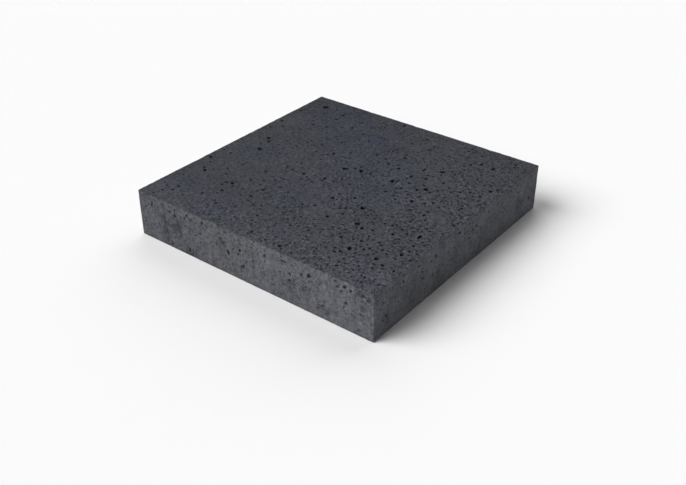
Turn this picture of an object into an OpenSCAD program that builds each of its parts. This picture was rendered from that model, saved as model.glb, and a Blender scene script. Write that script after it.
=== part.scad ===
// Concrete paving slab: square, cast in one piece, with eased edges and the open air pores of cast concrete.
// Millimetres. The origin is the middle of the bed face, +Z is up, and X and Y run along the edges.

/* [Slab] */
// Length of the slab along X
slab_length = 400; // [200:5:800]
// Width of the slab along Y
slab_width = 400; // [200:5:800]
// Thickness from the bed face to the wearing face
slab_thickness = 70; // [40:1:120]

/* [Edges] */
// Radius of the eased edge round the wearing face
wearing_arris = 1.5; // [0.5:0.1:4]
// Radius of the eased edge round the bed face
bed_arris = 1; // [0.5:0.1:4]
// Radius of the four upright corners
corner_arris = 1.2; // [0.5:0.1:4]

/* [Open pores] */
// Mouth of the widest open pore
pore_mouth = 9; // [4:0.5:14]
// Depth of the widest open pore
pore_depth = 5.5; // [1:0.5:8]

/* [Hidden] */
$fn = 64;

// The main pores of each face, each [place along the face, place across it, size]. Places are percentages
// of half the face, counted from its middle, and the size is a percentage of the widest pore. Those that
// touch are bubbles that ran together.
wearing_pores = [
    [-83.5, 85, 99], [-62.5, 81.5, 70], [-62.5, 72.5, 54], [-95.8, 45.3, 60], [-94.2, 43.7, 60],
    [-82.5, 15, 83], [-78.5, 10.5, 83], [-27.5, 25.3, 62], [-27.5, 23.7, 62], [-5.8, 12.2, 82],
    [-7.2, 10.8, 82], [-1.5, 16, 52], [-13.5, 95.5, 64], [-95.5, 68, 54], [-1, 42.5, 77],
    [18, 50.5, 68], [76.8, 76.1, 68], [77.2, 73.9, 68], [67, 76, 79], [92, 45.5, 70],
    [95, 50, 54], [51, 49, 84], [39, 45.5, 42], [39, 44, 42], [39, 42.5, 42],
    [13.5, 36.5, 73], [23.5, 34.5, 75], [37, 30.5, 61], [81.5, 36, 52], [51.5, 25, 61],
    [55.5, 21, 79], [51, 17, 68], [30.5, 16.5, 77], [4.5, 15.5, 89], [12, 16, 56],
    [35.5, 2, 56], [57, 2.2, 60], [57, 0.8, 60], [65.5, 4.5, 68], [69.5, 8.5, 55],
    [88.5, 14, 51], [47, 34, 55], [61, 70.5, 55], [36, 26, 52], [61, 87.5, 55],
    [36.5, -25.5, 93], [45.5, -43.5, 83], [51, -46, 64], [58.6, -68.6, 64], [59.4, -70.4, 64],
    [79, -69, 70], [86, -72.5, 58], [86, -31.3, 64], [86, -33.7, 64], [88.5, -56, 69],
    [24.5, -48, 60], [9, -41.3, 60], [9, -42.7, 60], [71, -40, 52], [12.5, -27, 63],
    [24, -18, 52], [59.5, -32.5, 50], [64.5, -31.5, 50], [62.5, -8.5, 52], [73.5, -8.5, 52],
    [60, -58.5, 52], [56.5, -75.5, 51], [23.5, -94, 68], [47, -62.5, 56], [95, -73.5, 51],
    [30, -39.5, 63], [58, -44, 51], [2, -46.5, 63], [63.5, -81, 51], [35.5, -56.5, 51],
    [75, -87, 56], [73, -3.5, 51], [96.5, -4, 54], [-75.5, -3, 95], [-9, -9, 81],
    [-25, -12.5, 65], [-55.5, -53.5, 70], [-59.5, -55, 54], [-59.5, -59.5, 51], [-54, -65, 59],
    [-84.8, -51.1, 74], [-83.3, -51.9, 74], [-87.5, -48.5, 56], [-95, -34.5, 79], [-24.5, -37.5, 69],
    [-32, -47.5, 56], [-12.5, -75, 52], [-35.5, -12.5, 56], [-49, -26, 56], [-48, -27, 56],
    [-49.3, -41.3, 60], [-47.7, -42.7, 60], [-82, -79, 58], [-81.5, -85, 65], [-86.5, -89.5, 55],
    [-62, -76, 55], [-45, -80, 60], [-38, -93.5, 54], [-33, -59, 51], [-72.5, 41, 57],
];

// On the joint faces the second place is the height, and the bubbles are smaller and mostly rose to the
// upper half.
front_pores = [
    [29.5, 71, 45], [31, 71.5, 45], [32.5, 72, 45], [-16.5, 0, 75], [-4.75, -38, 56],
    [-3.25, -30.5, 56], [-6, 31.5, 48], [36, 28.5, 60], [35.5, 0, 58], [28, 20, 47],
    [45.5, 48.5, 55], [51, 57, 71], [78.5, 77, 68], [83, 71.5, 51], [76, 54.5, 53],
    [79.5, 14.5, 50], [78, -5.5, 54], [62, -43, 57], [-86.6, 68.5, 52], [-87.4, 57.5, 52],
    [-78.5, 80, 50], [-69.5, 63, 54], [-65, 54.5, 58], [-53, 80, 53], [-39, 77, 57],
    [-46, 8.5, 50], [-41.5, 25.5, 49], [15.5, 57, 57], [15.5, 80, 50], [5, 11.5, 56],
    [90.5, -5.5, 50], [-94.5, -28.5, 56], [72, 80, 47],
];
right_pores = [
    [-70, 57, 54], [-55, 73, 40], [-53.5, 71.5, 40], [-52, 70, 40], [-49.5, 34.5, 51],
    [-58.5, 25.5, 46], [-39.5, 48.5, 56], [-34.5, 57, 65], [-7, 77, 67], [9.5, 43, 50],
    [14.5, 48.5, 69], [6, 17, 54], [-91, 34.5, 50], [-88, -25.5, 57], [-91.5, -34.5, 49],
    [89.5, -25.5, 64], [53, -45.5, 47], [5.5, 80, 58], [-1.5, 80, 47], [60, 80, 54], [69.5, 80, 50],
];
back_pores = [
    [-80, 50, 60], [-48, 70, 55], [-20, 40, 50], [12, 75, 60],
    [30, -10, 50], [52, 60, 65], [58, 30, 50], [86, 55, 55],
];
left_pores = [
    [-88, 60, 55], [-60, 30, 50], [-44, 72, 60], [-10, 55, 55],
    [18, -20, 50], [36, 70, 65], [66, 45, 50], [80, 75, 60],
];
joint_pores = [front_pores, right_pores, back_pores, left_pores];

// Rectangle that stands on the X axis, centred along it, with its two lower and two upper corners rounded
module eased_outline(length, height, lower_r, upper_r) {
    half = length / 2;
    polygon([
        [-half + lower_r, 0], [half - lower_r, 0], [half, lower_r], [half, height - upper_r],
        [half - upper_r, height], [-half + upper_r, height], [-half, height - upper_r], [-half, lower_r],
    ]);
    for (side = [-1, 1]) {
        translate([side * (half - lower_r), lower_r]) circle(lower_r);
        translate([side * (half - upper_r), height - upper_r]) circle(upper_r);
    }
}

// Elevation of the slab along a side of the given length, carried through its depth
module elevation_prism(length, depth) {
    rotate([90, 0, 0])
        linear_extrude(depth, center = true)
            eased_outline(length, slab_thickness, bed_arris, wearing_arris);
}

// Cast block: what its plan, its front elevation and its side elevation have in common
module cast_block() {
    intersection() {
        linear_extrude(slab_thickness)
            translate([0, -slab_width / 2])
                eased_outline(slab_length, slab_width, corner_arris, corner_arris);
        elevation_prism(slab_length, slab_width);
        rotate([0, 0, 90]) elevation_prism(slab_width, slab_length);
    }
}

// Hollow left by an air bubble: the cap of a ball that is as wide as the mouth at the face
module air_pore(mouth, depth) {
    ball_r = (mouth * mouth / 4 + depth * depth) / (2 * depth);
    translate([0, 0, ball_r - depth]) sphere(ball_r);
}

// The pores of one face, which lies in the XY plane with its outside towards +Z
module face_pores(pores, length, height) {
    for (pore = pores) {
        share = pore / 100;
        translate([share[0] * length / 2, share[1] * height / 2])
            air_pore(share[2] * pore_mouth, share[2] * pore_depth);
    }
}

// The pores of the four joint faces, by turns from the front one
module joint_face_pores() {
    for (turn = [0:3]) {
        length = turn % 2 == 0 ? slab_length : slab_width;
        depth = turn % 2 == 0 ? slab_width : slab_length;
        rotate([0, 0, 90 * turn])
            translate([0, -depth / 2, slab_thickness / 2])
                rotate([90, 0, 0]) face_pores(joint_pores[turn], length, slab_thickness);
    }
}

module paving_slab() {
    color("dimgray")
        difference() {
            cast_block();
            translate([0, 0, slab_thickness])
                face_pores(wearing_pores, slab_length, slab_width);
            joint_face_pores();
        }
}

paving_slab();
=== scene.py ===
"""A square concrete paving slab lying on a white studio floor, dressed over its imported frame."""
import math

import bpy
import numpy as np
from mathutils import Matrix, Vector
from mathutils.geometry import delaunay_2d_cdt


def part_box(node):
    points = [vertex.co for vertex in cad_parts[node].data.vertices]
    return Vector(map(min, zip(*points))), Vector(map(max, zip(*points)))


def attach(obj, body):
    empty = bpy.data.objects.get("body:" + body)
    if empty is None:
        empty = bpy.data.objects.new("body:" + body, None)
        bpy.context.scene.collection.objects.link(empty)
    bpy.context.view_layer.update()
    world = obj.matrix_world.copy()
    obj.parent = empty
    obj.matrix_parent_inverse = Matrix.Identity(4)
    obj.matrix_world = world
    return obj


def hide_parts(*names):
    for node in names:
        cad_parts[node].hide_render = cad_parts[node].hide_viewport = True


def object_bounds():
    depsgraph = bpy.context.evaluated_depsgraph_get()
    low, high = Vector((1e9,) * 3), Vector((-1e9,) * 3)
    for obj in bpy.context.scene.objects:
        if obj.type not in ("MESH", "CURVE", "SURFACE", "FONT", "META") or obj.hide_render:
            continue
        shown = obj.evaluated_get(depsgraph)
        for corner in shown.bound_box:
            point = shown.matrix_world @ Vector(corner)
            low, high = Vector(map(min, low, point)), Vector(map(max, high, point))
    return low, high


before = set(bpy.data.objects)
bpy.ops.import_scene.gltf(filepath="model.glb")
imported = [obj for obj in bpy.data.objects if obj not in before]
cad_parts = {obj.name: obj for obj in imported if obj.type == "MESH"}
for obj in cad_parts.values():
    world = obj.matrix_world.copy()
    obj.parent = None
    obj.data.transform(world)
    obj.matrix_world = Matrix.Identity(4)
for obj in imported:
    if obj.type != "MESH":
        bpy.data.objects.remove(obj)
cad_low, cad_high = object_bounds()

# The slab: one block of dense anthracite concrete, cast in a steel mould and struck from it when set. The
# mould leaves straight sides with thin eased arrises, which wear and nick in handling, and the air in the
# mix leaves open pores, crowded towards the near right-hand corner of the wearing face.
mm = 0.001
block_low, block_high = (np.array(corner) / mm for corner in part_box("paving_slab"))
block_middle, block_half = (block_low + block_high) / 2, (block_high - block_low) / 2

# Each face of the block by its own directions: along it, up it, and outwards.
slab_faces = {
    "wearing": np.array([(1, 0, 0), (0, 1, 0), (0, 0, 1)], float),
    "bed": np.array([(1, 0, 0), (0, -1, 0), (0, 0, -1)], float),
    "front": np.array([(1, 0, 0), (0, 0, 1), (0, -1, 0)], float),
    "right": np.array([(0, 1, 0), (0, 0, 1), (1, 0, 0)], float),
    "back": np.array([(-1, 0, 0), (0, 0, 1), (0, 1, 0)], float),
    "left": np.array([(0, -1, 0), (0, 0, 1), (-1, 0, 0)], float),
}


def face_half(face):
    """Half the length and half the height of a face: the block's half size along its two directions."""
    return np.abs(slab_faces[face][:2] @ block_half)


def on_block(face, flat):
    """Flat places on a face as points of the square-edged block: its middle, plus each place along and up
    the face, plus half the block outwards."""
    along, up, out = slab_faces[face]
    return block_middle + flat[..., :1] * along + flat[..., 1:] * up + out * np.abs(out @ block_half)


def sway(points, wavelength, seed, waves=10, stretch=(0.7, 1.4)):
    """Slow random rise and fall, about -1 to 1: the sum of plane sine waves over the root of their number,
    each with its own heading and phase, and with the wavelength stretched at random."""
    draw = np.random.default_rng(seed)
    heading = draw.normal(size=(waves, points.shape[-1]))
    heading /= np.linalg.norm(heading, axis=1, keepdims=True)
    turns = heading / (wavelength * draw.uniform(*stretch, (waves, 1)))
    phase = draw.uniform(0, 2 * np.pi, waves)
    return np.sin(2 * np.pi * points @ turns.T + phase).sum(-1) / math.sqrt(waves)


# Nicks knocked out of the arrises, each a place on an edge of the block with its reach and its depth. The
# upper arrises take the deeper ones.
nick_draw = np.random.default_rng(41)
nick_count = 220
nick_reaches = (1.0, 3.4)
nick_shares = (0.2, 1.0)
upper_nick, lower_nick = 0.7, 0.35
nick_place = nick_draw.uniform(-1, 1, (nick_count, 3))
nick_edge = nick_draw.integers(0, 3, nick_count)
along_edge = np.arange(3) == nick_edge[:, None]
nick_at = block_middle + np.where(along_edge, nick_place, np.sign(nick_place)) * block_half
nick_reach = nick_draw.uniform(*nick_reaches, nick_count)
nick_most = np.where(nick_at[:, 2] > block_middle[2], upper_nick, lower_nick)
nick_depth = nick_draw.uniform(*nick_shares, nick_count) ** 2 * nick_most

# Longer chips of the upper arrises, and the near corner, which is worn rounder than the rest: place from
# the middle of the wearing face, reach and depth.
chips = np.array([
    (200, -200, 14, 0.9), (-184, -200, 7, 1.1), (-158, -200, 4, 0.8), (-120, -200, 7, 1.0),
    (-92, -200, 4, 0.7), (-60, -200, 4, 0.6), (-38, -200, 8, 0.9), (8, -200, 5, 0.7), (30, -200, 4, 0.9),
    (66, -200, 7, 0.8), (110, -200, 5, 0.6), (140, -200, 4, 0.9), (172, -200, 8, 0.9), (200, -150, 5, 0.8),
    (200, -60, 7, 0.8), (200, 40, 4, 0.6), (200, 122, 7, 0.9), (120, 200, 6, 0.8), (-10, 200, 4, 0.7),
    (-96, 200, 7, 0.8), (-200, 140, 6, 0.7), (-200, 30, 4, 0.8), (-200, -86, 7, 0.8),
])
nick_at = np.concatenate([nick_at, np.column_stack([chips[:, :2], np.full(len(chips), block_high[2])])])
nick_reach = np.append(nick_reach, chips[:, 2])
nick_depth = np.append(nick_depth, chips[:, 3])

# The radius of the eased edge in mm: at the bed, what it gains up to the wearing face, the least it wears
# to, and its waves along the edge, each a height, a wavelength and a seed.
bed_arris = 0.7
arris_gain = 0.1
least_arris = 0.35
arris_waves = ((0.12, 11, 5), (0.1, 4.5, 6))


def arris_radius(points):
    """Radius of the eased edge at points of the block: the bed's plus the gain by height, a little more or
    less by the waves, plus a bell-shaped bump at each nick."""
    height = (points[..., 2] - block_low[2]) / (block_high[2] - block_low[2])
    worn = bed_arris + arris_gain * height
    for most, wavelength, seed in arris_waves:
        worn += most * sway(points, wavelength, seed)
    away = np.linalg.norm(points[..., None, :] - nick_at, axis=-1) / nick_reach
    return np.clip(worn, least_arris, None) + (nick_depth * np.exp(-away**2)).sum(-1)


def eased(points):
    """The block with its edges rounded: each point goes to the nearest point of the block shrunk by the
    arris radius, then out again by that radius, the way it came."""
    radius = arris_radius(points)[..., None]
    core = np.clip(points, block_low + radius, block_high - radius)
    away = points - core
    return core + radius * away / np.linalg.norm(away, axis=-1, keepdims=True)


# The deepest, clean open pores of each face: place along and up the face from its middle, length, width and
# turn in degrees.
deep_pores = {
    "wearing": [
        (-165, 30, 7, 6, 0), (-167, 170, 8, 7.5, 0), (-111, -107, 6.4, 4.6, 150), (49, -96, 4.8, 4.6, 0),
        (158, -138, 5.6, 5.4, 0), (118, -139, 8.4, 4.6, 115), (147, -17, 4.2, 4, 0),
        (73, -51, 8.2, 6.4, 90), (91, -87, 6.8, 6.2, 0), (172, -145, 4.6, 4.4, 0),
        (102, -92, 5.4, 4.6, 90), (36, 101, 5.6, 5, 0), (61, 33, 7, 5, 125), (74, 61, 5.4, 4.2, 90),
        (163, 72, 4.6, 3.6, 90), (108, -157, 4.2, 3.8, 0), (83, 43, 4.2, 4, 0), (153, -118, 3.8, 3.6, 0),
        (113, -151, 4.2, 3.8, 0), (103, -149, 3.8, 3.6, 0), (190, 100, 4.4, 4, 0), (-13, 23, 9.5, 6, 45),
    ],
    "front": [
        (166, 25, 4.2, 3.2, 50), (157, 27, 5.4, 4.4, 40), (159, 5, 4.2, 3, 30), (102, 20, 6, 4.2, 80),
        (-12, 11, 4.8, 3.4, 50), (-15, 4, 4.2, 2.6, 60), (62, 25, 8.4, 3.2, 5),
    ],
    "right": [],
    "back": [],
    "left": [],
    "bed": [],
}

# Open pores with a little dust in them, in the same form.
seen_pores = {
    "wearing": [
        (-125, 163, 6, 5, 130), (-125, 145, 4.8, 4.4, 0), (-190, 89, 8.4, 3.6, 135),
        (-157, 21, 5.6, 4.6, 0), (-55, 49, 6.2, 3.6, 90), (-61, 41, 4.4, 3.4, 0), (-3, 32, 4.2, 4, 0),
        (-27, 191, 6, 4, 90), (-191, 136, 4.2, 4.2, 0), (-127, 194, 5, 3.4, 0), (154, 150, 8.4, 4.4, 100),
        (134, 152, 5.6, 5.2, 0), (163, 160, 3.6, 2.8, 0), (184, 91, 6.4, 4.6, 90), (102, 98, 7.6, 5.6, 40),
        (78, 88, 10, 2.8, 90), (27, 73, 5, 4, 130), (47, 69, 5.2, 4.2, 90), (152, 64, 4.8, 3, 90),
        (103, 50, 5, 4.6, 0), (111, 42, 6.4, 6, 0), (102, 34, 5.4, 5.2, 0), (9, 31, 8, 6, 135),
        (24, 32, 4.6, 4.2, 0), (71, 4, 4.6, 4.2, 0), (114, 3, 7, 4.6, 100), (139, 17, 5, 3.6, 90),
        (177, 28, 4.4, 3.6, 90), (91, 78, 4, 3.8, 0), (94, 68, 4.4, 4.2, 0), (122, 141, 5.2, 3.4, 90),
        (15, 82, 4.4, 4, 0), (9, 109, 3.6, 3.4, 0), (82, 25, 5, 3.2, 90), (72, 52, 5.6, 2.6, 90),
        (152, 12, 3.6, 3.4, 0), (122, 175, 4.4, 3.4, 0), (172, -65, 9, 4.6, 90), (177, -112, 6.2, 4.6, 90),
        (18, -84, 5.4, 3.4, 90), (142, -80, 4.6, 4.4, 0), (25, -54, 5.4, 4.4, 90), (48, -36, 4.6, 4.4, 0),
        (43, -46, 3.8, 3.4, 0), (119, -65, 4, 3.8, 0), (129, -63, 4, 3.8, 0), (125, -17, 4.8, 4.6, 0),
        (120, -117, 4.6, 4.4, 0), (156, -95, 3.6, 3.4, 0), (167, -52, 3.6, 3.4, 0), (47, -188, 5, 4.4, 0),
        (94, -125, 5.2, 3.6, 90), (190, -147, 4.4, 3.6, 90), (116, -88, 3.8, 3.4, 0),
        (127, -162, 3.8, 3.4, 0), (166, -157, 3.6, 3.4, 0), (138, -124, 3.6, 3.4, 0),
        (150, -174, 3.8, 3.4, 0), (146, -7, 4.6, 3.4, 0), (193, -8, 4, 3.6, 0), (105, -72, 3.6, 3.4, 0),
        (-18, -18, 5.2, 4.4, 0), (-50, -25, 6, 4.2, 140), (-119, -110, 4.4, 4, 0), (-119, -119, 4.2, 3, 0),
        (-108, -130, 4.8, 4.4, 0), (-151, -6, 8.4, 6.4, 150), (-175, -97, 4.6, 4.2, 0),
        (-190, -69, 7, 4.6, 145), (-64, -95, 4.6, 4.2, 0), (-69, -102, 3.6, 3.4, 0),
        (-25, -150, 4.6, 3.6, 0), (-71, -25, 5.2, 3.6, 0), (-164, -158, 5.4, 3.6, 0),
        (-163, -170, 5.2, 3.6, 0), (-173, -179, 4.6, 3, 0), (-26, -36, 4.4, 3.4, 0),
        (-90, -160, 6, 3.4, 0), (-66, -118, 5.8, 3.8, 0), (-37, 66, 4, 3.4, 0), (-145, 82, 6, 3, 0),
        (-97, -84, 7.4, 3.4, 140), (120, 72, 4.2, 4, 0), (-77, -87, 3.6, 3.4, 0), (-191, -40, 3.6, 3.4, 0),
        (134, 65, 3.6, 3.4, 0), (-168, -103, 7, 4.4, 150), (49, 145, 5.6, 4.8, 0),
    ],
    "front": [
        (-33, 0, 6.6, 4.2, 105), (-8, -12, 8.2, 3.4, 40), (72, 10, 4.8, 3, 110), (71, 0, 4.8, 3.2, 20),
        (56, 7, 3.6, 2.5, 0), (91, 17, 4.6, 3.4, 80), (152, 19, 4, 3.3, 0), (146, 23, 4.6, 2.8, 25),
        (156, -2, 4.6, 2.4, 70), (124, -15, 5.4, 2.8, 25), (-174, 22, 7.4, 2.7, 70),
        (-139, 22, 4.8, 3, 25), (-130, 19, 4.8, 3.6, 80), (-129, 28, 4.2, 2.8, 40),
        (-106, 28, 4.4, 2.8, 40), (-111, 22, 3.8, 2.6, 50), (-100, 23, 4, 2.6, 20),
        (-78, 27, 4.6, 2.8, 60), (-92, 3, 3.8, 2.7, 20), (-83, 9, 3.6, 2.7, 30), (31, 20, 5, 3.2, 70),
        (31, 28, 4, 2.2, 10), (9, 23, 3.6, 2.2, 20), (143, 30, 4.2, 2.8, 60), (181, -2, 4, 2.2, 60),
        (192, 27, 2.6, 1.8, 70), (-140, -29, 5.6, 2.8, 20),
    ],
    "right": [
        (-140, 20, 4.8, 3, 130), (-107, 25, 7.6, 2.5, 170), (-99, 12, 4.8, 2.6, 135),
        (-117, 9, 4.2, 2.4, 150), (-79, 17, 5, 3, 110), (-69, 20, 5.4, 4, 110), (-14, 27, 5, 3.8, 0),
        (19, 15, 4, 2.7, 110), (29, 17, 5, 3.1, 140), (12, 6, 5.4, 2.4, 150), (-181, 12, 4.4, 3, 110),
        (-175, -9, 5, 3.6, 130), (-186, 6, 4.4, 2.8, 150), (-182, -13, 4.6, 2.4, 145),
        (179, -9, 6, 3.2, 130), (106, -16, 4.2, 2.6, 140), (11, 28, 4.8, 2.6, 170),
        (-3, 28, 3.8, 2.2, 160), (120, 28, 5, 2.8, 150), (139, 28, 4.6, 2.6, 140), (-139, 29, 4.2, 2.6, 0),
    ],
    "back": [
        (-160, 17, 6, 4.8, 60), (-96, 24, 5.4, 4.5, 0), (-40, 14, 5, 4, 110), (24, 26, 6, 4.8, 20),
        (60, -3, 5, 4, 70), (104, 21, 6.5, 5.2, 40), (116, 10, 4.8, 4.2, 0), (172, 19, 5.4, 4.5, 130),
    ],
    "left": [
        (-176, 21, 5.4, 4.5, 50), (-120, 10, 5, 4, 0), (-88, 25, 6, 4.8, 100), (-20, 19, 5.4, 4.5, 30),
        (36, -7, 5, 4, 80), (72, 24, 6.5, 5.2, 140), (132, 16, 5, 4, 60), (160, 26, 6, 4.8, 10),
    ],
    "bed": [],
}

# Shallow pores that dust has filled, in the same form. They show as soft dark marks of painted shade.
faint_pores = {
    "wearing": [
        (4, -93, 4.8, 3.8, 90), (60, -79, 5.4, 4.4, 0), (131, 9, 6, 4.6, 90), (-97, -53, 8, 4.6, 135),
        (-2, 85, 7.6, 5.6, 120), (-49, -75, 6, 5.8, 0), (71, -113, 4.8, 4.4, 0), (-76, -187, 4.4, 4, 0),
        (160, -51, 3.6, 3.4, 0), (-124, -152, 4.4, 4.2, 0), (-62, -193, 7, 3.4, 0), (-153, 149, 6, 4, 135),
        (-85, 134, 7.6, 5.6, 120), (-59, 128, 6, 5, 100), (-49, 128, 4, 3, 90), (-63, 153, 6, 4, 125),
        (-54, 162, 4, 4, 0), (-141, 107, 6, 5, 120), (-120, 113, 5, 4.6, 0), (-174, 74, 4.4, 4.4, 0),
        (-109, 54, 6, 5, 140), (-93, 52, 5.4, 4.4, 0), (-86, 61, 5, 4, 0), (-37, 49, 4.4, 4, 0),
        (-139, 22, 4.4, 4, 0), (-38, 113, 6, 4, 130), (-30, 135, 5, 4.4, 0), (-68, 85, 4.4, 4, 0),
        (-187, 149, 4.4, 4, 0), (28, 172, 7, 5, 100), (18, 146, 5.6, 4.8, 0), (18, 122, 4.4, 4, 0),
        (150, 124, 4.4, 4, 0), (139, 113, 3.6, 3.4, 0), (155, 53, 4.4, 4, 0), (169, 100, 4.4, 4, 0),
        (143, 38, 6, 3, 100), (19, 20, 4.4, 4, 0), (138, 97, 4.4, 4, 0), (-176, -42, 5, 5, 0),
        (-180, -80, 4.4, 4, 0), (-81, -24, 6, 5, 110), (-61, -27, 4.4, 4.2, 0), (-41, -30, 4.2, 4, 0),
        (-34, -34, 4.8, 4.6, 0), (-62, -55, 4.4, 4, 0), (-47, -58, 4.4, 4, 0), (-77, -58, 4.4, 4, 0),
        (-136, -57, 6, 5, 140), (-136, -92, 5.4, 4.4, 0), (-80, -75, 5, 4.6, 0), (-165, -119, 4.4, 4, 0),
        (-22, -163, 6, 5, 130), (-91, -193, 4.4, 4, 0), (-177, -192, 4, 4, 0), (-182, -131, 4.4, 4, 0),
        (20, -11, 5.4, 5, 0), (49, -71, 4, 3.6, 0), (23, -118, 4.4, 4, 0), (47, -134, 4.2, 3.8, 0),
        (23, -188, 5, 4.4, 0), (119, -184, 6, 3, 110), (191, -100, 4.4, 4, 0), (-38, -128, 4, 3.6, 0),
        (-44, -134, 3.6, 3.4, 0), (-33, -136, 5, 4.4, 0), (-39, -141, 3.6, 3.4, 0),
    ],
    "front": [
        (10, 4, 5, 3, 80), (-189, -10, 4.4, 3.6, 0), (-157, 28, 4.2, 3, 20), (-106, -25, 8, 3.4, 65),
        (-187, 14, 7, 4, 60), (-117, 24, 6, 4, 50), (-68, 10, 5.4, 3.4, 70), (-41, 12, 6, 3, 100),
        (-24, 8, 6, 3.4, 50), (31, 12, 6, 3, 80), (12, -6, 6, 3.2, 90), (94, -4, 8.4, 4, 95),
        (178, -26, 6, 4, 40), (115, -22, 5, 3.4, 30), (130, -24, 5, 3, 20), (-59, -24, 5.4, 3.4, 60),
        (76, 25, 5, 3, 30), (195, 18, 3.2, 2.4, 90), (186, 6, 3, 2.2, 60), (195, 0, 3, 2.2, 80),
        (188, 20, 3, 2.2, 20),
    ],
    "right": [
        (-98, 2, 6, 4, 150), (-164, 25, 5, 3, 110), (-120, 28, 5, 3, 20), (-75, -6, 9, 4, 110),
        (-150, -4, 5, 3, 130), (60, 24, 7, 3.4, 160), (150, -2, 6, 2.6, 130), (-40, 12, 5, 2.8, 140),
        (90, 10, 4.6, 2.4, 150), (170, 14, 5.4, 3, 140),
    ],
    "back": [],
    "left": [],
    "bed": [],
}

# Smaller pores strewn over each face: how many are tried, and their least and most width. The power makes
# narrow ones the commoner, and the longest are longer than wide by the share strewn_longer.
strewn_power = 1.5
strewn_longer = 0.7
strewn_pores = {
    "wearing": (13000, 1.3, 3.7),
    "front": (620, 1.3, 3.0),
    "right": (620, 1.3, 3.0),
    "back": (760, 1.3, 5.0),
    "left": (760, 1.3, 5.0),
    "bed": (600, 1.6, 4.2),
}

# How much the open pores above are enlarged on each face, and how dark the shade painted into the pores of
# each face is.
pore_swell = {"wearing": 1.15, "front": 1.25, "right": 1.25, "back": 1, "left": 1, "bed": 1}
face_pore_shade = {"wearing": 1, "front": 0.68, "right": 0.5, "back": 0.6, "left": 0.6, "bed": 0.8}

# The depth of a clean pore as a share of its width, the gap that pores keep from each other and from the
# eased edge, the room they keep from the block's edges, and how far a mouth strays from its ellipse.
pore_depth = 0.65
pore_gap = 0.4
edge_room = 1.0
pore_wobble = 0.2

# Where the skin crumbled at the near corner: place along the face, half width, height, half height and
# strength. Each is full of pinholes, crumb_count of them tried at full strength, and is rougher and darker.
crumb_count = 160
crumb_width = (1.5, 2.8)
crumb_longer = 1.2
crumb_crowd = 0.2
crumb_rough = 0.3
crumb_stain = 0.26
crumbled = {
    "wearing": [],
    "bed": [],
    "front": [(196, 12, 24, 18, 1.0), (178, 14, 34, 8, 0.7)],
    "right": [(-198, 6, 28, 12, 0.5)],
    "back": [],
    "left": [],
}


def bells(marks, flat):
    """How strong a face's marks are at each place: the sum of bells, each as wide and high as its mark."""
    strength = np.zeros(len(flat))
    for along, half_width, up, half_height, most in marks:
        away = ((flat[:, 0] - along) / half_width) ** 2 + ((flat[:, 1] - up) / half_height) ** 2
        strength += most * np.exp(-away)
    return strength


# How the pores crowd on each face: the share of the tried ones that stay at its middle, what that gains
# along it, up it and towards its corners, the least share, how much of it stays without the drifts, and
# what they add. On the wearing face most are near on the right, on the sides high up, where the air rose.
side_crowd = (0.45, 0, 0.5, 0, 0.1, 0.2, 1.4)
face_crowd = {
    "wearing": (0.27, 0.27, -0.17, -0.16, 0.06, 0.3, 1.3),
    "bed": (1, 0, 0, 0, 1, 0.3, 0.6),
    "front": side_crowd,
    "right": side_crowd,
    "back": side_crowd,
    "left": side_crowd,
}

# The drifts: their middle and most, and their waves over the face, each a height, a wavelength and a seed.
drift_middle = 0.5
drift_most = 1.3
drift_waves = ((0.4, 70, 21), (0.4, 22, 22))


def crowding(face, flat):
    """Share of the tried pores that stay: a twisted plane over the face, held between the least and 1,
    times the drifts, plus more where the skin crumbled."""
    middle, along_gain, up_gain, corner_gain, least, without, added = face_crowd[face]
    along, up = (flat / face_half(face)).T
    drift = drift_middle
    for most, wavelength, seed in drift_waves:
        drift += most * sway(flat, wavelength, seed)
    drift = np.clip(drift, 0, drift_most)
    share = np.clip(middle + along_gain * along + up_gain * up + corner_gain * along * up, least, 1)
    return share * (without + added * drift) + crumb_crowd * bells(crumbled[face], flat)


# How rough the skin of each face is. On the wearing face that is multiplied by steps over the crowding, and
# by steps over the place from front to back.
face_rough = {"wearing": 1.0, "front": 0.72, "right": 0.46, "back": 0.7, "left": 0.7, "bed": 0.75}
crowd_rough = ((0.08, 0.25, 0.37, 0.5), (0.85, 1.0, 1.35, 1.5))
back_rough = ((-100, 200), (1, 1.42))


def roughness(face, flat):
    """How rough the skin is: each face's own share, plus where it crumbled; on the wearing face times the
    steps, with straight lines between them."""
    rough = face_rough[face] + crumb_rough * bells(crumbled[face], flat)
    if face == "wearing":
        rough *= np.interp(crowding(face, flat), *crowd_rough)
        rough *= np.interp(flat[:, 1], *back_rough)
    return rough


# Where the easing of an edge has its rows of points, as shares of the arris radius in from the edge: every
# 15 degrees of its round. Along the edge they stand about edge_pitch apart.
ease_rows = 1 - np.tan(np.radians([45, 30, 15, 0]))
edge_pitch = 2.0


def edge_strip(face):
    """Rows of points round a face, shaped [row, column, 2]: the unit square's outline, counter-clockwise,
    drawn out to the face less an inset, which grows row by row from nothing to the arris radius there."""
    half = face_half(face)
    steps = np.rint(2 * half / edge_pitch).astype(int)
    s, t = (np.linspace(-1, 1, n + 1)[:-1] for n in steps)
    ring = np.concatenate([
        np.column_stack([s, -np.ones_like(s)]), np.column_stack([np.ones_like(t), t]),
        np.column_stack([-s, np.ones_like(s)]), np.column_stack([-np.ones_like(t), -t]),
    ])
    inset = ease_rows[:, None] * arris_radius(on_block(face, ring * half))
    return ring * (half - inset[..., None])
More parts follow.
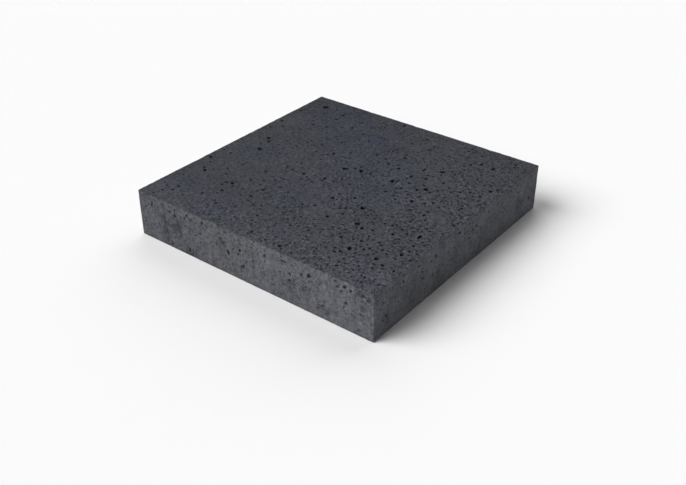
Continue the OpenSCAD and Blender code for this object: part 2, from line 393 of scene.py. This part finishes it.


# The least and most darkness of the deep, seen, faint and strewn pores and of the crumbs: shade painted
# into each pore, darkest at its bottom. On the wearing face they darken in steps from left to right, all
# but the deep and seen ones more so. Dust fills the pale ones, at most until dusty_depth of their depth is
# left.
kind_dark = ((1.1, 1.2), (0.75, 1), (0.28, 0.6), (0.15, 1), (0.6, 1.15))
dark_along = ((-200, 0, 100, 200), (0.95, 1, 1.15, 1.25))
small_dark_along = ((-200, 0, 100), (0.65, 0.75, 1))
dusty_depth = 0.15


def face_pores(face, seed):
    """The pores of a face as rows of place along and up, length, width, turn, depth and the darkness of the
    shade painted into them: the listed ones, the strewn ones from long to short, and the crumbs, which are
    strewn round each crumbled place as a bell. A pore that comes too near an earlier row, or reaches the
    eased edge, is left out."""
    draw = np.random.default_rng(seed)
    deep, seen, faint = (
        np.array(listed[face], float).reshape(-1, 5) for listed in (deep_pores, seen_pores, faint_pores))
    deep[:, 2:4] *= pore_swell[face]
    seen[:, 2:4] *= pore_swell[face]
    count, least, most = strewn_pores[face]
    flat = draw.uniform(-1, 1, (count, 2)) * face_half(face)
    width = least * (most / least) ** (draw.uniform(0, 1, count) ** strewn_power)
    longer = 1 + strewn_longer * draw.uniform(0, 1, count) ** 2
    turn = draw.uniform(0, 180, count)
    stays = draw.uniform(0, 1, count) < crowding(face, flat)
    strewn = np.column_stack([flat, width * longer, width, turn])[stays]
    strewn = strewn[np.argsort(-strewn[:, 2])]
    crumbs = [np.zeros((0, 5))]
    for along, half_width, up, half_height, most in crumbled[face]:
        count = round(crumb_count * most)
        flat = (along, up) + draw.normal(size=(count, 2)) * (half_width, half_height) / math.sqrt(2)
        width = draw.uniform(*crumb_width, count)
        crumbs.append(np.column_stack([flat, width * crumb_longer, width, draw.uniform(0, 180, count)]))
    kinds = (deep, seen, faint, strewn, np.concatenate(crumbs))
    pores = np.concatenate(kinds)
    dark = np.concatenate([draw.uniform(*ends, len(rows)) for ends, rows in zip(kind_dark, kinds)])
    if face == "wearing":
        dark *= np.interp(pores[:, 0], *dark_along)
        small = len(deep) + len(seen)
        dark[small:] *= np.interp(pores[small:, 0], *small_dark_along)
    depth = pores[:, 3] * pore_depth * (dusty_depth + (1 - dusty_depth) * np.minimum(dark, 1))
    # The shade painted into the pores is scaled for each face.
    dark *= face_pore_shade[face]
    reach = pores[:, 2] / 2 * (1 + pore_wobble)
    inner_row = edge_strip(face)[-1]
    inner_row = np.concatenate([inner_row, (inner_row + np.roll(inner_row, 1, 0)) / 2])
    room = np.linalg.norm(pores[:, None, :2] - inner_row, axis=-1).min(1) - reach
    inside = (np.abs(pores[:, :2]) + reach[:, None] < face_half(face) - edge_room).all(1)
    fits = inside & (room > pore_gap)
    for number in np.flatnonzero(fits):
        before = np.flatnonzero(fits[:number])
        apart = np.linalg.norm(pores[before, :2] - pores[number, :2], axis=1) - reach[before]
        fits[number] = (apart > reach[number] + pore_gap).all()
    return np.column_stack([pores, depth, dark])[fits]


# How a pore is turned into a bowl, by its least and most width: segments round it, and the share of its
# mouth and of its depth at each ring from the mouth inwards. The bottom is one point.
pore_bowls = [
    (0, 2.0, 6, (1,), (0,)),
    (2.0, 3.2, 8, (1, 0.78), (0, 0.66)),
    (3.2, 4.3, 12, (1, 0.9, 0.58), (0, 0.5, 0.92)),
    (4.3, 99, 18, (1, 0.95, 0.83, 0.5), (0, 0.35, 0.75, 0.96)),
]

# How many waves run round a pore's mouth, what tames them to its wobble, how much further a mouth may dent
# than swell, and how far the bottom leans aside, as a share of the width.
mouth_waves = np.array([2, 3, 4])
mouth_calm = 2.6
mouth_dent = 1.5
pore_lean = 0.05


def bowl_rings(pores, segments, mouth_share, depth_share, seed):
    """Pore bowls as rings of points, shaped [pore, ring, segment, 2], with the depth of each ring [pore,
    ring] and the place of each bottom. The mouth is an ellipse whose radius swells and shrinks by the
    waves, and each ring is the mouth drawn in, leaning a little to one side with its depth."""
    draw = np.random.default_rng(seed)
    place, (length, width, turn, depth) = pores[:, :2], pores[:, 2:6].T
    angle = np.arange(segments) / segments * 2 * np.pi
    swell = draw.normal(size=(len(pores), 3)) * pore_wobble / mouth_calm / (mouth_waves - 1)
    phase = draw.uniform(0, 2 * np.pi, (len(pores), 3))
    radius = 1 + (swell[..., None] * np.cos(mouth_waves[:, None] * angle + phase[..., None])).sum(1)
    radius = np.clip(radius, 1 - mouth_dent * pore_wobble, 1 + pore_wobble)
    along = length[:, None] / 2 * radius * np.cos(angle)
    across = width[:, None] / 2 * radius * np.sin(angle)
    cos, sin = np.cos(np.radians(turn))[:, None], np.sin(np.radians(turn))[:, None]
    mouth = np.stack([along * cos - across * sin, along * sin + across * cos], -1)
    lean = draw.normal(size=(len(pores), 2)) * width[:, None] * pore_lean
    share, sunk = np.array(mouth_share), np.array(depth_share)
    drawn_in = mouth[:, None] * share[:, None, None]
    aside = (lean[:, None] * sunk[:, None])[:, :, None]
    return place[:, None, None] + drawn_in + aside, depth[:, None] * sunk, place + lean


# How far apart the filler points between the pores stand on each face, in mm. As shares of that, how far in
# from the edge the first ones stand and how far each is jittered. Then their room round a pore, in mm.
filler_pitch = {"wearing": 5.5, "bed": 9.0, "front": 4.5, "right": 4.5, "back": 4.5, "left": 4.5}
filler_inset = 0.8
filler_jitter = 0.3
filler_room = 0.8


def loops_of(first, count, size):
    """Edges of a number of closed loops that lie one after another from a first point: each point to the
    next one of its own loop."""
    start = first + np.arange(count)[:, None] * size
    step = np.arange(size)
    return np.stack([start + step, start + (step + 1) % size], -1).reshape(-1, 2)


def band(outer, inner):
    """Triangles between two closed rows of point numbers, shaped [..., segment], with the outer row on the
    right hand of a counter-clockwise walk."""
    outer_next, inner_next = np.roll(outer, -1, -1), np.roll(inner, -1, -1)
    return np.concatenate([
        np.stack([outer, outer_next, inner_next], -1).reshape(-1, 3),
        np.stack([outer, inner_next, inner], -1).reshape(-1, 3),
    ])


def face_skin(face, seed):
    """One face of the slab as flat places, depths, shares of painted pore shade, rim numbers and triangles.
    The eased edge is a strip of rows, each pore is a stack of rings, and the rest is triangles drawn
    between the strip's inner row, the pores' mouths and a jittered net of filler points."""
    draw = np.random.default_rng(seed)
    pores = face_pores(face, seed + 1)
    strip = edge_strip(face)
    rows, columns = strip.shape[:2]
    pitch = filler_pitch[face]
    inset = filler_inset * pitch
    steps = [np.arange(-half + inset, half - inset, pitch) for half in face_half(face)]
    filler = np.stack(np.meshgrid(*steps), -1).reshape(-1, 2)
    filler += draw.uniform(-filler_jitter, filler_jitter, filler.shape) * pitch
    reach = pores[:, 2] / 2 * (1 + pore_wobble)
    room = np.linalg.norm(filler[:, None] - pores[None, :, :2], axis=-1) - reach
    filler = filler[room.min(1) > filler_room]

    # First come the strip's points, row by row, then the filler. None of them is in a pore or on a rim.
    number = rows * columns + len(filler)
    strip_rows = np.arange(rows * columns).reshape(rows, columns)
    triangles = [band(strip_rows[row], strip_rows[row + 1]) for row in range(rows - 1)]
    borders = [np.column_stack([strip_rows[-1], np.roll(strip_rows[-1], -1)])]
    drawn = [np.arange((rows - 1) * columns, number)]
    flat, depth, pore_shading = [strip.reshape(-1, 2), filler], [np.zeros(number)], [np.zeros(number)]
    rim = [np.full((number, 2), -1)]
    pore_number = 0
    for least, most, segments, mouth_share, depth_share in pore_bowls:
        group = pores[(pores[:, 3] >= least) & (pores[:, 3] < most)]
        rings, sunk, bottom = bowl_rings(group, segments, mouth_share, depth_share, seed + segments)
        count, levels = rings.shape[:2]
        # The rings are stored mouth first, ring by ring, then the bottoms.
        ring_points = levels * count * segments
        numbers = number + np.arange(ring_points).reshape(levels, count, segments)
        bottoms = number + ring_points + np.arange(count)
        flat += [rings.transpose(1, 0, 2, 3).reshape(-1, 2), bottom]
        depth += [np.repeat(sunk.T.reshape(-1), segments), group[:, 5]]
        # Painted shade in each pore: the ring's share of the depth times the pore's darkness.
        pore_shading += [np.repeat(np.outer(depth_share, group[:, 6]), segments), group[:, 6]]
        mouth_pore = np.repeat(pore_number + np.arange(count), segments)
        mouth_step = np.tile(np.arange(segments), count)
        below_mouth = (levels - 1) * count * segments + count
        rim += [np.stack([mouth_pore, mouth_step], -1), np.full((below_mouth, 2), -1)]
        borders.append(loops_of(number, count, segments))
        drawn.append(numbers[0].ravel())
        triangles += [band(numbers[level], numbers[level + 1]) for level in range(levels - 1)]
        last, below = numbers[-1], np.repeat(bottoms[:, None], segments, 1)
        triangles.append(np.stack([last, np.roll(last, -1, -1), below], -1).reshape(-1, 3))
        number += ring_points + count
        pore_number += count
    flat, depth, pore_shading, rim = (np.concatenate(part) for part in (flat, depth, pore_shading, rim))

    # The sheet is drawn inside its borders, and the triangles that would close a mouth are left out: those
    # with all three points on one rim, in the order in which they come on it.
    inside_borders, same_point = 1, 1e-6
    drawn = np.concatenate(drawn)
    place_of = np.full(number, -1)
    place_of[drawn] = np.arange(len(drawn))
    border_ends = place_of[np.concatenate(borders)].tolist()
    drawn_points = [Vector(point) for point in flat[drawn].tolist()]
    net = delaunay_2d_cdt(drawn_points, border_ends, [], inside_borders, same_point)
    came_from = np.array([first[0] for first in net[3]])
    sheet = drawn[came_from[np.array(net[2])]]
    pore, step = rim[sheet, 0], rim[sheet, 1]
    turn_by = (step - np.roll(step, 1, 1)).prod(1)
    closes_mouth = (pore[:, 0] >= 0) & (pore == pore[:, :1]).all(1) & (turn_by < 0)
    triangles.append(sheet[~closes_mouth])
    return flat, depth, pore_shading, rim[:, 0], np.concatenate(triangles)


# Where each face lies on the slab's map, a square of map_side units: its corner, and where its length and
# height run. It stays map_margin inside its own border there.
map_side = 680
map_margin = 1.5
face_maps = {
    "wearing": ((0, 280), (400, 0), (0, 400)),
    "front": ((470, 280), (0, 400), (-70, 0)),
    "right": ((540, 280), (0, 400), (-70, 0)),
    "back": ((610, 280), (0, 400), (-70, 0)),
    "left": ((680, 280), (0, 400), (-70, 0)),
    "bed": ((0, 0), (680, 0), (0, 280)),
}


def on_map(face, flat):
    """Places on the slab's map, from 0 to 1: the face's corner plus its length and height, each times the
    place's share of the face, held in from the face's border by the margin."""
    corner, along, up = (np.array(v, float) for v in face_maps[face])
    size = np.array([np.linalg.norm(along), np.linalg.norm(up)])
    share = map_margin / size + (flat / face_half(face) + 1) / 2 * (1 - 2 * map_margin / size)
    return (corner + share[:, :1] * along + share[:, 1:] * up) / map_side


# Stains that ran down the mould: place along the face, half width, height of the middle, half height and
# darkness. The last five of the front are dark marks along its top, at its chips, and the last two of the
# right are painted shade.
stains_and_shade = {
    "wearing": [],
    "bed": [],
    "front": [
        (-151, 6, -2, 32, 0.42), (-121, 9, 2, 26, 0.46), (-136, 8, 0, 26, 0.32), (-168, 12, 14, 14, 0.1),
        (-96, 8, -30, 12, 0.2), (-109, 6, -28, 9, 0.3), (-84, 6, 12, 16, 0.1), (-186, 8, 8, 12, 0.08),
        (-42, 13, 4, 22, 0.24), (-60, 8, -14, 18, 0.14), (-20, 9, -24, 14, 0.14), (62, 12, -12, 16, 0.16),
        (46, 9, -26, 10, 0.12), (124, 12, -22, 12, 0.14), (172, 7, 14, 18, 0.12), (10, 6, -6, 18, 0.12),
        (-183, 8, 34, 4, 0.25), (-120, 8, 34, 4, 0.22), (-38, 8, 34, 4, 0.2), (8, 5, 34, 3, 0.18),
        (66, 7, 34, 4, 0.16),
    ],
    "right": [
        (-120, 10, -10, 26, 0.16), (-62, 14, -14, 20, 0.18), (-20, 8, 0, 26, 0.12), (48, 12, -8, 24, 0.16),
        (96, 9, -14, 22, 0.14), (150, 14, -12, 22, 0.16), (-170, 8, -18, 16, 0.12),
        # Painted shade: a wash over the whole right face, and more at its far end.
        (0, 150, 0, 100, 0.04), (196, 50, 0, 60, 0.07),
    ],
    "back": [
        (-150, 11, -4, 28, 0.22), (-92, 7, 6, 26, 0.18), (-30, 13, -10, 22, 0.2), (44, 8, 0, 30, 0.18),
        (104, 14, -14, 18, 0.18), (166, 8, 2, 28, 0.2),
    ],
    "left": [
        (-166, 9, 0, 28, 0.2), (-104, 13, -8, 24, 0.2), (-48, 7, 8, 24, 0.16), (22, 12, -6, 26, 0.22),
        (78, 8, -14, 18, 0.14), (142, 12, -2, 28, 0.22),
    ],
}

# Drifts of the pigment, where the skin is bluer, in the same form.
blue_drifts = {
    "wearing": [
        (-110, 64, 160, 40, 0.9), (-45, 60, 100, 44, 0.9), (20, 56, 52, 36, 0.8), (68, 44, -4, 34, 0.8),
        (-160, 36, -12, 26, 0.7), (-84, 28, -176, 22, 0.6), (-192, 30, -196, 18, 0.4),
        (-22, 34, -98, 24, 0.5), (-160, 24, -152, 18, 0.5), (-14, 26, -10, 22, 0.5),
    ],
    "bed": [],
    "front": [(-130, 40, 0, 40, 0.4), (10, 26, -26, 16, 0.5), (160, 20, -26, 12, 0.5)],
    "right": [(-90, 60, 30, 20, 0.5), (20, 60, 30, 20, 0.5), (150, 30, -10, 30, 0.5)],
    "back": [(-120, 50, 10, 30, 0.5), (60, 60, -10, 30, 0.5)],
    "left": [(-40, 60, 10, 30, 0.5), (130, 40, -10, 30, 0.5)],
}

# The six skins, face by face. They share the points along the block's edges, so those are welded.
seed_step = 100
weld_steps = 1e4
skins = []
first_point = first_rim = 0
for index, (face, (_, _, out)) in enumerate(slab_faces.items()):
    flat, depth, pore_shading, rim, triangles = face_skin(face, seed_step * (index + 1))
    skins.append((
        eased(on_block(face, flat)) - depth[:, None] * out,
        triangles + first_point,
        np.where(rim < 0, -1, rim + first_rim),
        on_map(face, flat),
        pore_shading,
        np.full(len(flat), float(face not in ("wearing", "bed"))),
        crowding(face, flat),
        roughness(face, flat),
        bells(stains_and_shade[face], flat) + crumb_stain * bells(crumbled[face], flat),
        bells(blue_drifts[face], flat),
    ))
    first_point += len(flat)
    first_rim += rim.max() + 1
skin_points, skin_triangles, skin_rim, skin_map, *skin_looks = map(np.concatenate, zip(*skins))
look_names = ("pore_shading", "side", "open", "rough", "stain_and_shade", "blue")
in_steps = np.rint(skin_points * weld_steps).astype(np.int64)
_, kept, welded = np.unique(in_steps, axis=0, return_index=True, return_inverse=True)
welded = welded.ravel()
slab_mesh = bpy.data.meshes.new("slab")
slab_mesh.from_pydata(skin_points[kept] * mm, [], welded[skin_triangles], shade_flat=False)
corners = skin_triangles.ravel()
map_layer = slab_mesh.uv_layers.new(name="OFBake")
map_layer.uv.foreach_set("vector", skin_map[corners].astype(np.float32).ravel())
for name, values in zip(look_names, skin_looks):
    layer = slab_mesh.attributes.new(name, "FLOAT", "CORNER")
    layer.data.foreach_set("value", values[corners].astype(np.float32))
edge_ends = np.zeros(2 * len(slab_mesh.edges), np.int32)
slab_mesh.edges.foreach_get("vertices", edge_ends)
end_rims = skin_rim[kept][edge_ends.reshape(-1, 2)]
sharp = slab_mesh.attributes.new("sharp_edge", "BOOLEAN", "EDGE")
sharp.data.foreach_set("value", (end_rims[:, 0] >= 0) & (end_rims[:, 0] == end_rims[:, 1]))
slab_mesh.update()

slab = bpy.data.objects.new("slab", slab_mesh)
bpy.context.scene.collection.objects.link(slab)
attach(slab, "root")
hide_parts("paving_slab")

# Its finish: matt cement paste, a bluish anthracite that clouds from batch to batch, with sand grains and
# with pinholes too fine to model, and on the sides the streaks of mould oil and a darker foot. Shade is
# painted into the pinholes and the pores, and painted light and shade lie over the wearing face and the
# sides.
concrete = bpy.data.materials.new("anthracite_concrete")
concrete.use_nodes = True
concrete_tree = concrete.node_tree
concrete_shader = concrete_tree.nodes["Principled BSDF"]


def add(tree, kind, inputs, **settings):
    """The outputs of a new node in a tree, with its settings made and its inputs linked to a socket or set
    to a value."""
    made = tree.nodes.new(kind)
    for name, value in settings.items():
        setattr(made, name, value)
    for name, value in inputs.items():
        if isinstance(value, bpy.types.NodeSocket):
            tree.links.new(value, made.inputs[name])
        else:
            made.inputs[name].default_value = value
    return made.outputs


def sum_of(a, b):
    """Value a plus value b."""
    return add(concrete_tree, "ShaderNodeMath", {0: a, 1: b}, operation="ADD")[0]


def product(a, b):
    """Value a times value b."""
    return add(concrete_tree, "ShaderNodeMath", {0: a, 1: b}, operation="MULTIPLY")[0]


def spread(value, low, high, to_low=0.0, to_high=1.0, smooth=False):
    """A value from low to high spread over to_low to to_high, and held there outside it."""
    ends = {"Value": value, "From Min": low, "From Max": high, "To Min": to_low, "To Max": to_high}
    kind = "SMOOTHSTEP" if smooth else "LINEAR"
    return add(concrete_tree, "ShaderNodeMapRange", ends, interpolation_type=kind)["Result"]


def blend(share, a, b):
    """Colour a turning into colour b as the share goes from 0 to 1."""
    return add(concrete_tree, "ShaderNodeMix", {0: share, 6: a, 7: b}, data_type="RGBA")[2]


def blend_value(share, a, b):
    """Value a turning into value b as the share goes from 0 to 1."""
    return add(concrete_tree, "ShaderNodeMix", {0: share, 2: a, 3: b})[0]


def noise(place, size, detail=2.0, rough=0.5):
    """Soft noise from 0 to 1 with lumps of a size in mm."""
    lumps = {"Vector": place, "Scale": 1 / size, "Detail": detail, "Roughness": rough}
    return add(concrete_tree, "ShaderNodeTexNoise", lumps)["Fac"]


def cells(place, size):
    """Random cells of a size in mm: each point's distance from its cell's seed, in cell sizes, and the
    cell's own draw from 0 to 1."""
    made = add(concrete_tree, "ShaderNodeTexVoronoi", {"Vector": place, "Scale": 1 / size})
    return made["Distance"], add(concrete_tree, "ShaderNodeSeparateColor", {"Color": made["Color"]})["Red"]


def srgb(red, green, blue):
    """A colour as seen, 0 to 255, in the linear values that shaders take: the standard display curve."""
    seen = np.array([red, green, blue]) / 255
    return (*np.where(seen < 0.04045, seen / 12.92, ((seen + 0.055) / 1.055) ** 2.4), 1.0)


# Patterns run in mm, askew to the faces, so that none of their planes shows. Streaks are drawn upright.
pattern_turn = (0.7, 0.5, 1.1)
streak_scale = (1 / mm, 1 / mm, 0.11 / mm)
in_metres = add(concrete_tree, "ShaderNodeTexCoord", {})["Object"]
in_mm = add(concrete_tree, "ShaderNodeMapping", {"Vector": in_metres, "Scale": (1 / mm,) * 3})["Vector"]
place = add(concrete_tree, "ShaderNodeMapping", {"Vector": in_mm, "Rotation": pattern_turn})["Vector"]
upright = add(concrete_tree, "ShaderNodeMapping", {"Vector": in_metres, "Scale": streak_scale})["Vector"]
across = add(concrete_tree, "ShaderNodeSeparateXYZ", {"Vector": in_mm})
painted_pore_shade, on_side, open_share, rough_share, stain_and_shade, blue = (
    add(concrete_tree, "ShaderNodeAttribute", {}, attribute_name=name)["Fac"] for name in look_names)

# Lumps from wide clouds down to sand, each with its size in mm. Pinholes are cells with a hole in the
# middle, open where the pores crowd.
clouds = noise(place, 95, 3)
tints = noise(place, 60, 2)
blotch = noise(place, 26, 3, 0.55)
mottle = noise(place, 11, 3, 0.6)
grain = noise(place, 4.6, 2, 0.6)
sand = noise(place, 1.9, 1, 0.6)
streaks = noise(upright, 9, 3, 0.6)
pit_away, pit_draw = cells(place, 3.3)
pit_open = spread(sum_of(pit_draw, product(open_share, -0.9)), 0.0, 0.06, 1.0, 0.0)
pit = product(spread(pit_away, 0.16, 0.34, 1.0, 0.0), pit_open)
_, speck_draw = cells(place, 2.3)

# The cement's colour, bluer in the drifts, and paler on the sides: partly the mould's skin left there,
# partly painted light, the sides lit more than the top.
bluer = spread(sum_of(blue, spread(tints, 0.3, 0.7, -0.25, 0.25)), 0.0, 1.0)
wearing_tone = blend(bluer, srgb(59, 60, 65), srgb(55, 58, 68.5))
side_tone = blend(bluer, srgb(79, 79.5, 83.5), srgb(77, 79.5, 86))
tone = blend(on_side, wearing_tone, side_tone)

# How light that colour is, about 1: clouds, mottling and blotches, then grain, sand and pale specks where
# the skin is rough, then the sides' streaks, the stains and the painted shade of the right face, and last
# the shade painted into pinholes and pores.
lightness = sum_of(spread(clouds, 0.3, 0.7, 0.94, 1.06), spread(mottle, 0.25, 0.75, -0.12, 0.12))
blotches = spread(blotch, 0.25, 0.75, -0.17, 0.17)
lightness = sum_of(lightness, product(spread(on_side, 0.0, 1.0, 0.9, 1.0), blotches))
fine = sum_of(spread(grain, 0.25, 0.75, -0.5, 0.5), spread(sand, 0.25, 0.75, -0.3, 0.3))
fine = sum_of(fine, spread(speck_draw, 0.86, 1.0, 0.0, 0.45))
lightness = sum_of(lightness, product(fine, rough_share))
lightness = sum_of(lightness, product(on_side, spread(streaks, 0.25, 0.75, -0.14, 0.14)))
lightness = sum_of(lightness, product(product(stain_and_shade, spread(mottle, 0.25, 0.7, 1.7, 0.8)), -1.0))
# Painted shade in the pinholes.
lightness = product(lightness, spread(pit, 0.0, 1.0, 1.0, 0.4))
# Painted shade in the pores, darkest at their bottoms.
lightness = product(lightness, spread(painted_pore_shade, 0.0, 1.05, 1.0, 0.05))

# Painted light and shade on the wearing face: it is paler along its front margin and darker towards the
# back. The sides are darker along the foot, and the whole slab is a little paler towards the right.
painted_front_light = spread(across["Y"], -168.0, -138.0, 1.22, 1.0, True)
painted_light_falloff = spread(across["Y"], 0.0, 200.0, 1.02, 0.77)
foot = spread(sum_of(across["Z"], product(mottle, 9.0)), 3.0, 13.0, 0.9, 1.0)
lightness = product(lightness, blend_value(on_side, product(painted_front_light, painted_light_falloff), foot))
lightness = product(lightness, spread(across["X"], -200.0, 200.0, 0.91, 1.09))
lit_tone = {0: tone, "Scale": lightness}
coloured = add(concrete_tree, "ShaderNodeVectorMath", lit_tone, operation="SCALE")["Vector"]

# Grain and sand stand out of the skin and pinholes go into it, most where it is rough. It hardly shines.
relief_strength = 0.6
relief_depth = 0.35 * mm
shine = 0.08
relief_height = product(sum_of(sum_of(product(grain, 2.0), sand), product(pit, -1.2)), rough_share)
relief = {"Height": relief_height, "Strength": relief_strength, "Distance": relief_depth}
relief_normal = add(concrete_tree, "ShaderNodeBump", relief)["Normal"]
concrete_tree.links.new(coloured, concrete_shader.inputs["Base Color"])
concrete_tree.links.new(spread(mottle, 0.3, 0.7, 0.74, 0.9), concrete_shader.inputs["Roughness"])
concrete_tree.links.new(relief_normal, concrete_shader.inputs["Normal"])
concrete_shader.inputs["Specular IOR Level"].default_value = shine
slab_mesh.materials.append(concrete)

# The floor: a wide white sweep that the slab lies on. It shows white to the camera where nothing shades it,
# and takes the slab's shadow as any floor does.
floor_half = 8.0
floor_level = cad_low.z - 0.2 * mm
lit_white = (0.75, 0.75, 0.75, 1)
shown_white = (0.98, 0.98, 0.98, 1)
floor_mesh = bpy.data.meshes.new("floor")
floor_mesh.from_pydata(
    [(x * floor_half, y * floor_half, floor_level) for x, y in ((-1, -1), (1, -1), (1, 1), (-1, 1))],
    [], [(0, 1, 2, 3)])
floor = bpy.data.objects.new("floor", floor_mesh)
bpy.context.scene.collection.objects.link(floor)
sweep = bpy.data.materials.new("white_sweep")
sweep.use_nodes = True
sweep_tree = sweep.node_tree
sweep_shader = sweep_tree.nodes["Principled BSDF"]
sweep_shader.inputs["Roughness"].default_value = 1.0
sweep_shader.inputs["Specular IOR Level"].default_value = 0.0


def shown(tree):
    """1 for the rays that show a thing straight, in a mirror or through glass, and 0 for those that only
    light: the greatest of the three kinds."""
    ray = add(tree, "ShaderNodeLightPath", {})
    bent_rays = {0: ray["Is Glossy Ray"], 1: ray["Is Transmission Ray"]}
    bent = add(tree, "ShaderNodeMath", bent_rays, operation="MAXIMUM")[0]
    return add(tree, "ShaderNodeMath", {0: ray["Is Camera Ray"], 1: bent}, operation="MAXIMUM")[0]


whites = {0: shown(sweep_tree), 6: lit_white, 7: shown_white}
sweep_white = add(sweep_tree, "ShaderNodeMix", whites, data_type="RGBA")[2]
sweep_tree.links.new(sweep_white, sweep_shader.inputs["Base Color"])
floor_mesh.materials.append(sweep)

# Studio light: a broad soft box at the front left, and a weaker, wider one behind, which shades the floor
# in front. Each has its way round from the front, its height and its breadth in degrees, and its strength.
soft_boxes = {"key": (-40, 44, 46, 3.2), "back": (-162, 30, 80, 1.6)}


def heading(way, height):
    """Direction a way round from the front, to the right, and a height over the floor, both in degrees: the
    sine and the cosine of the way, drawn in by the cosine of the height, and the sine of the height."""
    way, height = math.radians(way), math.radians(height)
    return Vector((math.sin(way) * math.cos(height), -math.cos(way) * math.cos(height), math.sin(height)))


for name, (way, height, breadth, strength) in soft_boxes.items():
    lamp = bpy.data.lights.new(name, "SUN")
    lamp.energy = strength
    lamp.angle = math.radians(breadth)
    soft_box = bpy.data.objects.new(name, lamp)
    soft_box.rotation_mode = "QUATERNION"
    soft_box.rotation_quaternion = heading(way, height).to_track_quat("Z", "Y")
    bpy.context.scene.collection.objects.link(soft_box)

# Low white walls stand all round and light the sides. They fade out at a height over the floor, as the sine
# of its angle, and are brighter towards the front left. To the camera they are plain white.
wall_strength = 12.3
wall_height = 0.08
wall_front = (-0.16, -0.3, 0)
walls = bpy.data.worlds.new("walls")
walls.use_nodes = True
bpy.context.scene.world = walls
wall_tree = walls.node_tree
wall_way = add(wall_tree, "ShaderNodeTexCoord", {})["Generated"]
wall_up = add(wall_tree, "ShaderNodeSeparateXYZ", {"Vector": wall_way})["Z"]
fade_ends = {"Value": wall_up, "From Max": wall_height, "To Min": wall_strength, "To Max": 0.0}
fade = add(wall_tree, "ShaderNodeMapRange", fade_ends)["Result"]
both_ways = {0: wall_way, 1: wall_front}
in_front = add(wall_tree, "ShaderNodeVectorMath", both_ways, operation="DOT_PRODUCT")["Value"]
fuller = add(wall_tree, "ShaderNodeMath", {0: in_front, 1: fade, 2: fade}, operation="MULTIPLY_ADD")[0]
wall_white = add(wall_tree, "ShaderNodeMix", {0: shown(wall_tree), 2: fuller, 3: 1.0})[0]
wall_light = wall_tree.nodes["Background"]
wall_light.inputs["Color"].default_value = (1, 1, 1, 1)
wall_tree.links.new(wall_white, wall_light.inputs["Strength"])

# Camera: where the photograph was taken from, worked out from the slab's corners in its 686 by 485 frame.
image_width = 686
focal_pixels = 916.5
eye = Vector((691.68, -893.17, 683.94)) * mm
eye_way, eye_height = 37.76, 32.59
camera = bpy.data.objects.new("camera", bpy.data.cameras.new("camera"))
camera.data.sensor_width = 36
camera.data.sensor_fit = "HORIZONTAL"
camera.data.lens = focal_pixels / image_width * camera.data.sensor_width
camera.location = eye
camera.rotation_mode = "QUATERNION"
camera.rotation_quaternion = (-heading(eye_way, eye_height)).to_track_quat("-Z", "Y")
bpy.context.scene.collection.objects.link(camera)
bpy.context.scene.camera = camera
bpy.context.scene.view_settings.view_transform = "Standard"
